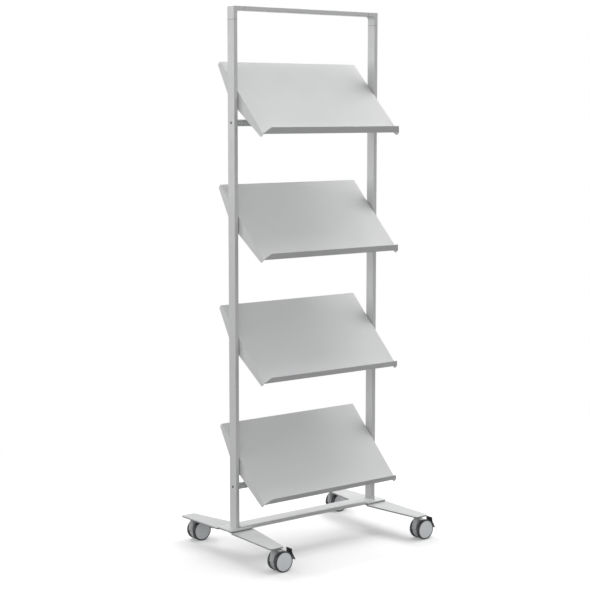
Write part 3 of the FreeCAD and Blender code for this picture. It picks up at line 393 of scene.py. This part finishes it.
def surface(name, coat_name, paint, grain, sheen, relief, metallic=0.0, specular=0.5, edge=0.0, joints=()):
    """A material whose colour, roughness and relief come from a coat group, with painted shade on upright
    edge faces and darker joint lines.
    """
    material = bpy.data.materials.get(name) or bpy.data.materials.new(name)
    material.use_nodes = True
    tree = material.node_tree
    tree.nodes.clear()
    coat = add_node(tree, "ShaderNodeGroup", node_tree=group_named(coat_name))
    coat.inputs["Colour"].default_value = (*paint, 1)
    coat.inputs["Grain"].default_value = grain
    coat.inputs["Sheen"].default_value = sheen
    coat.inputs["Relief"].default_value = relief
    shader = add_node(tree, "ShaderNodeBsdfPrincipled")
    shader.inputs["Metallic"].default_value = metallic
    shader.inputs["Specular IOR Level"].default_value = specular
    shown = coat.outputs["Colour"]
    if edge:
        # Painted shade: the upright edge faces are darkened
        cut = add_node(tree, "ShaderNodeGroup", node_tree=group_named("cut_edge"))
        cut.inputs["Depth"].default_value = edge
        shown = tint(tree, shown, cut.outputs["Shade"])
    for axis, place in joints:
        parts = add_node(tree, "ShaderNodeSeparateXYZ")
        link(tree, add_node(tree, "ShaderNodeTexCoord").outputs["Object"], parts.inputs[0])
        line = add_node(tree, "ShaderNodeGroup", node_tree=group_named("joint_line"))
        line.inputs["Place"].default_value = place
        line.inputs["Depth"].default_value = SEAM_DEPTH
        link(tree, parts.outputs[axis], line.inputs["Along"])
        shown = tint(tree, shown, line.outputs["Shade"])
    link(tree, shown, shader.inputs["Base Color"])
    link(tree, coat.outputs["Roughness"], shader.inputs["Roughness"])
    link(tree, coat.outputs["Normal"], shader.inputs["Normal"])
    result = add_node(tree, "ShaderNodeOutputMaterial")
    link(tree, shader.outputs["BSDF"], result.inputs["Surface"])
    return material


def finish(names, material):
    """Give the named CAD nodes one material in every slot."""
    for name in names:
        mesh = NODES[name].data
        if not mesh.materials:
            mesh.materials.append(material)
        for index in range(len(mesh.materials)):
            mesh.materials[index] = material


def plain_finish(look, name):
    """A material of the list of plain finishes, in its colour from the settings."""
    coat, setting, grain, roughness, relief, metallic = FINISHES[name]
    return surface(name, coat, getattr(look, setting), grain, roughness, relief, metallic=metallic)


# ---------------------------------------------------------------- operators

def frame_joints():
    """Where the corner connectors meet the posts and the rail: an axis and a distance along it."""
    rail_low, rail_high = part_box("top_rail")
    return (("Z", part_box("left_post")[1].z + HALF_SEAM), ("X", rail_low.x - HALF_SEAM),
            ("X", rail_high.x + HALF_SEAM))


class RACK_OT_paint_frame(bpy.types.Operator):
    """Powder-coat the posts, rail, cross tubes, plates and arms"""
    bl_idname = "rack.paint_frame"
    bl_label = "Paint Frame"

    def execute(self, context):
        look = context.scene.rack_finish
        grain = 1 / look.grain_size
        finish(TUBES, surface("frame_powder_coat", "powder_coat", look.frame_paint, grain,
                              PAINT_ROUGHNESS, PAINT_RELIEF, joints=frame_joints()))
        # Arms: a darker copy of the paint as painted shade, and painted shade on their upright edge faces
        finish(ARMS, surface("arm_powder_coat", "powder_coat", look.arm_paint_shaded, grain,
                             PAINT_ROUGHNESS, PAINT_RELIEF, edge=look.edge_shade_depth))
        # Base beam and plates: a lighter copy of the paint, as painted light
        finish(BASE, surface("base_powder_coat", "powder_coat", look.base_paint_lightened, grain,
                             PAINT_ROUGHNESS, PAINT_RELIEF))
        return {"FINISHED"}


def block(low, high):
    """A bmesh box between two corners."""
    shape = bmesh.new()
    bmesh.ops.create_cube(shape, size=1.0)
    bmesh.ops.scale(shape, vec=high - low, verts=shape.verts)
    bmesh.ops.translate(shape, vec=(low + high) / 2, verts=shape.verts)
    return shape


def object_from(shape, name):
    """A new object in the scene with the bmesh as its mesh."""
    mesh = bpy.data.meshes.new(name)
    shape.to_mesh(mesh)
    shape.free()
    thing = bpy.data.objects.new(name, mesh)
    bpy.context.scene.collection.objects.link(thing)
    return thing


def long_edges(shape, height):
    """The edges along X at one height."""
    return [edge for edge in shape.edges if all(abs(vert.co.z - height) < SAME_HEIGHT for vert in edge.verts)
            and abs(edge.verts[0].co.x - edge.verts[1].co.x) > LONG_EDGE]


def cut_away(thing, boxes):
    """The thing's mesh with the boxes cut out of it."""
    cutters = [object_from(block(low, high), "cutter") for low, high in boxes]
    for cutter in cutters:
        cut = thing.modifiers.new("cut", "BOOLEAN")
        cut.operation = "DIFFERENCE"
        cut.solver = "EXACT"
        cut.object = cutter
    seen = bpy.context.evaluated_depsgraph_get()
    mesh = bpy.data.meshes.new_from_object(thing.evaluated_get(seen))
    thing.modifiers.clear()
    thing.data = mesh
    for cutter in cutters:
        bpy.data.objects.remove(cutter)


class RACK_OT_shape_beam(bpy.types.Operator):
    """Base beam of full width with leaning sides and a rounded crown, in the place of the plain tube"""
    bl_idname = "rack.shape_beam"
    bl_label = "Shape Beam"

    def execute(self, context):
        look = context.scene.rack_finish
        tube_low, tube_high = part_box("base_beam")
        half = look.beam_width / 2
        base = tube_low.z + look.beam_lift
        top = base + look.beam_height
        shape = block(Vector((tube_low.x, -half, base)), Vector((tube_high.x, half, top)))
        for vert in shape.verts:
            if vert.co.z > (base + top) / 2:
                vert.co.y = math.copysign(half - look.beam_lean, vert.co.y)
        bmesh.ops.bevel(shape, geom=long_edges(shape, top), offset=look.beam_round, offset_type="OFFSET",
                        segments=8, profile=0.5, affect="EDGES", material=-1)
        bmesh.ops.bevel(shape, geom=long_edges(shape, base), offset=BEAM_FOOT_ROUND, offset_type="OFFSET",
                        segments=2, profile=0.5, affect="EDGES", material=-1)
        bmesh.ops.recalc_face_normals(shape, faces=shape.faces[:])
        beam = object_from(shape, "crowned_base_beam")
        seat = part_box("left_center_plate")[1].z
        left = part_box("left_center_plate")[1].x + PLATE_ROOM
        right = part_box("right_center_plate")[0].x - PLATE_ROOM
        under = tube_low.z - CUTTER_SPARE
        cut_away(beam, ((Vector((tube_low.x - CUTTER_SPARE, -CUTTER_HALF, under)),
                         Vector((left, CUTTER_HALF, seat))),
                        (Vector((right, -CUTTER_HALF, under)),
                         Vector((tube_high.x + CUTTER_SPARE, CUTTER_HALF, seat)))))
        beam.data.name = "crowned_base_beam"
        beam.data.shade_smooth()
        beam.data.set_sharp_from_angle(angle=math.radians(BEAM_SHARP))
        beam.data.materials.clear()
        beam.data.materials.append(bpy.data.materials["base_powder_coat"])
        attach(beam, "frame")
        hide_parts("base_beam")
        return {"FINISHED"}


class RACK_OT_paint_shelves(bpy.types.Operator):
    """Powder-coat the four shelves"""
    bl_idname = "rack.paint_shelves"
    bl_label = "Paint Shelves"

    def execute(self, context):
        look = context.scene.rack_finish
        # Shelves: a lighter copy of the paint, as painted light
        finish(SHELVES, surface("shelf_powder_coat", "powder_coat", look.shelf_paint, 1 / look.grain_size,
                                SHELF_ROUGHNESS, PAINT_RELIEF, specular=SHELF_SPECULAR))
        return {"FINISHED"}


class RACK_OT_finish_fixings(bpy.types.Operator):
    """Zinc on bolts and spacers, black screws in the posts, and black gaskets as painted shadow under the
    centre plates
    """
    bl_idname = "rack.finish_fixings"
    bl_label = "Finish Fixings"

    def execute(self, context):
        look = context.scene.rack_finish
        finish(FIXINGS, plain_finish(look, "zinc_plate"))
        finish(("cross_tube_screws",), plain_finish(look, "black_oxide"))
        # Painted shadow: black gaskets under the centre plates
        finish(("plate_gaskets",), plain_finish(look, "gasket_rubber"))
        return {"FINISHED"}


class RACK_OT_finish_castors(bpy.types.Operator):
    """Grey plastic, black tread and black levers on the castors"""
    bl_idname = "rack.finish_castors"
    bl_label = "Finish Castors"

    def execute(self, context):
        look = context.scene.rack_finish
        disc = plain_finish(look, "wheel_disc_plastic")
        body = plain_finish(look, "housing_plastic")
        tread = plain_finish(look, "tread_rubber")
        lever = plain_finish(look, "lever_plastic")
        zinc = plain_finish(look, "zinc_plate")
        for corner in CORNERS:
            finish((corner + "_front_hub", corner + "_rear_hub"), disc)
            finish((corner + "_caster_housing",), body)
            finish((corner + "_front_tyre", corner + "_rear_tyre"), tread)
            finish((corner + "_brake_lever",), lever)
            finish((corner + "_caster_stem", corner + "_caster_axle"), zinc)
        return {"FINISHED"}


def softbox(name, centre, bearing, height, watts):
    """A square area light on a sphere round the centre, facing it."""
    bearing, height = math.radians(bearing), math.radians(height)
    way = Vector((math.cos(bearing) * math.cos(height), math.sin(bearing) * math.cos(height),
                  math.sin(height)))
    lamp = bpy.data.lights.new(name, "AREA")
    lamp.shape = "SQUARE"
    lamp.size = SOFTBOX_SIZE
    lamp.energy = watts
    thing = bpy.data.objects.new(name, lamp)
    thing.location = centre + way * SOFTBOX_DISTANCE
    thing.rotation_euler = way.to_track_quat("Z", "Y").to_euler()
    bpy.context.scene.collection.objects.link(thing)
    return thing


def seeing_rays(tree):
    """1 for the rays that show the background: the camera's own, and those off gloss or through glass."""
    rays = add_node(tree, "ShaderNodeLightPath")
    plain = calc(tree, "MAXIMUM", rays.outputs["Is Camera Ray"], rays.outputs["Is Glossy Ray"])
    return calc(tree, "MAXIMUM", plain, rays.outputs["Is Transmission Ray"])


def floor_material(grey, bounce):
    """Pale floor with the rack's soft shadow, plain white further out, and a duller bounce of its own."""
    material = bpy.data.materials.new("studio_floor")
    material.use_nodes = True
    tree = material.node_tree
    tree.nodes.clear()
    diffuse = add_node(tree, "ShaderNodeBsdfDiffuse")
    diffuse.inputs["Color"].default_value = (grey, grey, grey, 1)
    lift = add_node(tree, "ShaderNodeEmission")
    lift.inputs["Color"].default_value = (1, 1, 1, 1)
    lift.inputs["Strength"].default_value = FLOOR_LIFT
    near = add_node(tree, "ShaderNodeAddShader")
    link(tree, diffuse.outputs["BSDF"], near.inputs[0])
    link(tree, lift.outputs["Emission"], near.inputs[1])
    white = add_node(tree, "ShaderNodeEmission")
    white.inputs["Color"].default_value = (1, 1, 1, 1)
    white.inputs["Strength"].default_value = 1.0
    place = add_node(tree, "ShaderNodeTexCoord")
    span = add_node(tree, "ShaderNodeVectorMath", operation="LENGTH")
    link(tree, place.outputs["Object"], span.inputs[0])
    fade = add_node(tree, "ShaderNodeMapRange", interpolation_type="SMOOTHSTEP")
    fade.inputs["From Min"].default_value = SHADOW_NEAR
    fade.inputs["From Max"].default_value = SHADOW_FAR
    link(tree, span.outputs["Value"], fade.inputs["Value"])
    seen = add_node(tree, "ShaderNodeMixShader")
    link(tree, fade.outputs["Result"], seen.inputs[0])
    link(tree, near.outputs["Shader"], seen.inputs[1])
    link(tree, white.outputs["Emission"], seen.inputs[2])
    last = add_node(tree, "ShaderNodeMixShader")
    dull = add_node(tree, "ShaderNodeBsdfDiffuse")
    dull.inputs["Color"].default_value = (bounce, bounce, bounce, 1)
    link(tree, seeing_rays(tree), last.inputs[0])
    link(tree, dull.outputs["BSDF"], last.inputs[1])
    link(tree, seen.outputs["Shader"], last.inputs[2])
    result = add_node(tree, "ShaderNodeOutputMaterial")
    link(tree, last.outputs["Shader"], result.inputs["Surface"])
    return material


def make_world(ambient):
    """Even light for the rack, and plain white where the background is seen."""
    world = bpy.data.worlds.new("studio_world")
    bpy.context.scene.world = world
    world.use_nodes = True
    tree = world.node_tree
    tree.nodes.clear()
    level = add_node(tree, "ShaderNodeMapRange")
    level.inputs["To Min"].default_value = ambient
    level.inputs["To Max"].default_value = 1.0
    link(tree, seeing_rays(tree), level.inputs["Value"])
    sky = add_node(tree, "ShaderNodeBackground")
    sky.inputs["Color"].default_value = (1, 1, 1, 1)
    link(tree, level.outputs["Result"], sky.inputs["Strength"])
    result = add_node(tree, "ShaderNodeOutputWorld")
    link(tree, sky.outputs["Background"], result.inputs["Surface"])


class RACK_OT_build_stage(bpy.types.Operator):
    """Floor, softboxes, world and camera"""
    bl_idname = "rack.build_stage"
    bl_label = "Build Stage"

    def execute(self, context):
        look = context.scene.rack_stage
        shape = bmesh.new()
        bmesh.ops.create_grid(shape, x_segments=1, y_segments=1, size=FLOOR_REACH)
        floor = object_from(shape, "studio_floor")
        floor.data.materials.append(floor_material(look.floor_grey, look.floor_bounce))
        middle = (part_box("left_post")[0].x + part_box("right_post")[1].x) / 2
        aim = Vector((middle, 0, SOFTBOX_AIM))
        for name, (bearing, height) in SOFTBOXES.items():
            softbox(name + "_softbox", aim, bearing, height, getattr(look, name))
        make_world(look.ambient)
        lens = bpy.data.cameras.new("rack_camera")
        lens.sensor_fit = "HORIZONTAL"
        lens.sensor_width = SENSOR_WIDTH
        lens.lens = SENSOR_WIDTH * FOCAL_LENGTH / FRAME_WIDTH
        lens.clip_end = 100.0
        camera = bpy.data.objects.new("rack_camera", lens)
        camera.location = (middle - CAMERA_BESIDE, -CAMERA_BEFORE, CAMERA_HEIGHT)
        camera.rotation_euler = (math.radians(90 - CAMERA_DOWN), 0, math.radians(CAMERA_TURN))
        context.scene.collection.objects.link(camera)
        context.scene.camera = camera
        context.scene.view_settings.view_transform = "Standard"
        return {"FINISHED"}


OPERATORS = (RACK_OT_paint_frame, RACK_OT_shape_beam, RACK_OT_paint_shelves, RACK_OT_finish_fixings,
             RACK_OT_finish_castors, RACK_OT_build_stage)


class RACK_PT_looks(bpy.types.Panel):
    """Buttons and settings of the rack"""
    bl_label = "Periodical Rack"
    bl_idname = "RACK_PT_looks"
    bl_space_type = "VIEW_3D"
    bl_region_type = "UI"
    bl_category = "Rack"

    def draw(self, context):
        for operator in OPERATORS:
            self.layout.operator(operator.bl_idname)
        for group in (context.scene.rack_finish, context.scene.rack_stage):
            for name in group.bl_rna.properties.keys():
                if name not in ("rna_type", "name"):
                    self.layout.prop(group, name)


CLASSES = (RackFinishSettings, RackStageSettings) + OPERATORS + (RACK_PT_looks,)


def register():
    for one in CLASSES:
        bpy.utils.register_class(one)
    bpy.types.Scene.rack_finish = PointerProperty(type=RackFinishSettings)
    bpy.types.Scene.rack_stage = PointerProperty(type=RackStageSettings)


def unregister():
    del bpy.types.Scene.rack_stage
    del bpy.types.Scene.rack_finish
    for one in reversed(CLASSES):
        bpy.utils.unregister_class(one)


def main():
    register()
    for operator in OPERATORS:
        group, name = operator.bl_idname.split(".")
        getattr(getattr(bpy.ops, group), name)()


if __name__ == "__main__":
    main()
